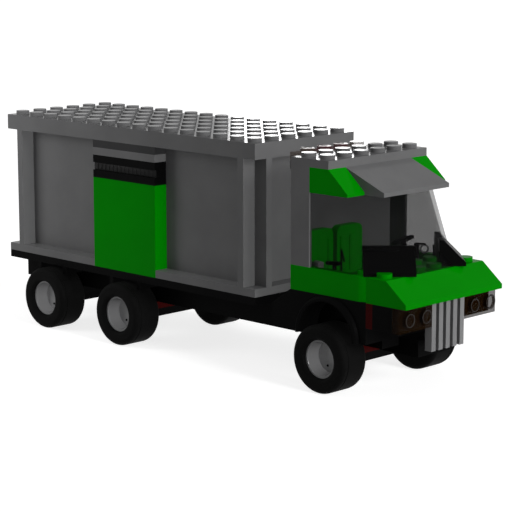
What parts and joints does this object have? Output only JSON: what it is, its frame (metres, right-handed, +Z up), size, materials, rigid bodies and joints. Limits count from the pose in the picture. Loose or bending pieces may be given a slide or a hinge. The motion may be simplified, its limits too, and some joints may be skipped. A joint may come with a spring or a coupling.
{
  "type": "toy box truck",
  "caption": "Toy box truck of studded bricks and plates, with a hollow box, side bays, cab, hinged rear doors and turning wheels.",
  "frame": {"origin": "on the ground under the middle of the truck's length and width", "axes": "+X forward towards the nose, +Y to the truck's left, +Z up"},
  "size_m": [0.192, 0.0572, 0.0778],
  "materials": {
    "grey_plastic": "satin moulded plastic",
    "dark_grey_plastic": "satin moulded plastic",
    "light_grey_plastic": "satin moulded plastic",
    "green_plastic": "glossy moulded plastic",
    "black_plastic": "satin moulded plastic",
    "red_plastic": "satin moulded plastic",
    "tyre_rubber": "matt moulded rubber",
    "windscreen_clear": "smoke-tinted clear plastic",
    "headlamp_clear": "smoky brown clear plastic",
    "amber_clear": "brown clear plastic",
    "red_clear": "red clear plastic"
  },
  "bodies": {
    "truck": {"base_plate": "black_plastic", "box_floor": "grey_plastic", "chassis_beam": "black_plastic", "chassis_plates": "black_plastic", "arch_plates": "black_plastic", "axle_holder_rear": "black_plastic", "axle_holder_middle": "black_plastic", "axle_holder_front": "black_plastic", "axle_spacers": "red_plastic", "box_front_wall": "grey_plastic", "side_walls_right": "grey_plastic", "side_walls_left": "grey_plastic", "corner_posts": "grey_plastic", "side_panel_right": "green_plastic", "side_panel_left": "green_plastic", "panel_vents": "black_plastic", "panel_headers": "grey_plastic", "panel_caps": "dark_grey_plastic", "box_roof": "grey_plastic", "mudguard_right": "black_plastic", "mudguard_left": "black_plastic", "front_chassis": "black_plastic", "front_red_plate": "red_plastic", "lamp_bricks": "black_plastic", "grille_carrier": "black_plastic", "headlamps": "headlamp_clear", "grille": "light_grey_plastic", "front_block": "black_plastic", "cab_tub": "green_plastic", "hood": "green_plastic", "corner_wedges": "black_plastic", "cab_corner_panels": "grey_plastic", "cab_back_panel": "grey_plastic", "lamp_carrier": "grey_plastic", "roof_lamps_amber": "amber_clear", "roof_lamps_red": "red_clear", "cab_roof": "grey_plastic", "roof_corners": "green_plastic", "visor": "grey_plastic", "windscreen": "windscreen_clear", "seats": "green_plastic", "steering_stand": "black_plastic"},
    "wheel_rear_right": {"hub_rear_right": "light_grey_plastic", "tyre_rear_right": "tyre_rubber"},
    "wheel_rear_left": {"hub_rear_left": "light_grey_plastic", "tyre_rear_left": "tyre_rubber"},
    "wheel_middle_right": {"hub_middle_right": "light_grey_plastic", "tyre_middle_right": "tyre_rubber"},
    "wheel_middle_left": {"hub_middle_left": "light_grey_plastic", "tyre_middle_left": "tyre_rubber"},
    "wheel_front_right": {"hub_front_right": "light_grey_plastic", "tyre_front_right": "tyre_rubber"},
    "wheel_front_left": {"hub_front_left": "light_grey_plastic", "tyre_front_left": "tyre_rubber"},
    "door_right": {"rear_door_right": "grey_plastic"},
    "door_left": {"rear_door_left": "grey_plastic"}
  },
  "joints": [
    {"name": "wheel_rear_right_spin", "type": "hinge", "parent": "truck", "child": "wheel_rear_right", "pos_m": [-0.072, -0.0229, 0.0111], "axis": [0, 1, 0], "continuous": true},
    {"name": "wheel_rear_left_spin", "type": "hinge", "parent": "truck", "child": "wheel_rear_left", "pos_m": [-0.072, 0.0229, 0.0111], "axis": [0, 1, 0], "continuous": true},
    {"name": "wheel_middle_right_spin", "type": "hinge", "parent": "truck", "child": "wheel_middle_right", "pos_m": [-0.032, -0.0229, 0.0111], "axis": [0, 1, 0], "continuous": true},
    {"name": "wheel_middle_left_spin", "type": "hinge", "parent": "truck", "child": "wheel_middle_left", "pos_m": [-0.032, 0.0229, 0.0111], "axis": [0, 1, 0], "continuous": true},
    {"name": "wheel_front_right_spin", "type": "hinge", "parent": "truck", "child": "wheel_front_right", "pos_m": [0.064, -0.0229, 0.0111], "axis": [0, 1, 0], "continuous": true},
    {"name": "wheel_front_left_spin", "type": "hinge", "parent": "truck", "child": "wheel_front_left", "pos_m": [0.064, 0.0229, 0.0111], "axis": [0, 1, 0], "continuous": true},
    {"name": "door_right_swing", "type": "hinge", "parent": "truck", "child": "door_right", "pos_m": [-0.09467, -0.01437, 0.04977], "axis": [0, 0, 1], "range_deg": [0, 90]},
    {"name": "door_left_swing", "type": "hinge", "parent": "truck", "child": "door_left", "pos_m": [-0.09467, 0.01437, 0.04977], "axis": [0, 0, -1], "range_deg": [0, 90]}
  ]
}
